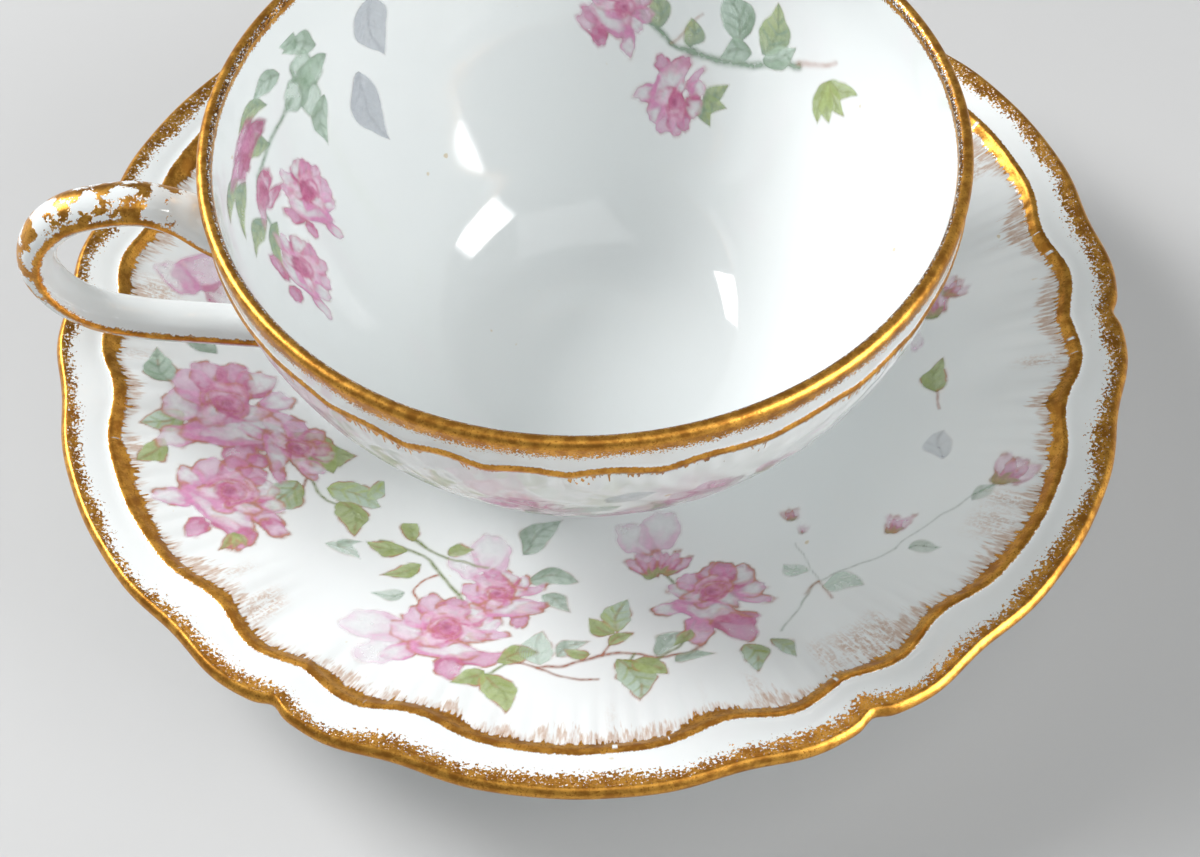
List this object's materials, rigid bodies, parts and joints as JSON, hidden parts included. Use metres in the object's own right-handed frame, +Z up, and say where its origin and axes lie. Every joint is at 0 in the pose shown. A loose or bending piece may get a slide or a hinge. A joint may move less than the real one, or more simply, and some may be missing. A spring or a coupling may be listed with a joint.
{
  "type": "teacup",
  "caption": "Thin porcelain teacup with a looped handle, standing in its scalloped saucer, with gilded lips, raised gilt lines and painted rose sprays.",
  "frame": {"origin": "on the saucer's axis, in the plane of the table it stands on", "axes": "+Z up out of the cup, -X along the handle, Y across it"},
  "size_m": [0.1449, 0.1448, 0.0548],
  "materials": {
    "porcelain": "clear glaze over white porcelain",
    "biscuit": "unglazed, ground foot",
    "gold": "burnished gold, worn"
  },
  "bodies": {
    "saucer": {"saucer_body": "porcelain", "saucer_foot_ring": "biscuit", "saucer_rim_gilding": "gold", "saucer_line_gilding": "gold"},
    "cup": {"cup_bowl": "porcelain", "cup_foot_ring": "biscuit", "cup_handle": "porcelain", "cup_rim_gilding": "gold", "cup_line_gilding": "gold", "handle_gilding": "gold"}
  },
  "joints": [
    {"name": "cup_lift", "type": "slide", "parent": "saucer", "child": "cup", "axis": [0, 0, 1], "range_m": [0, 0.06]}
  ]
}
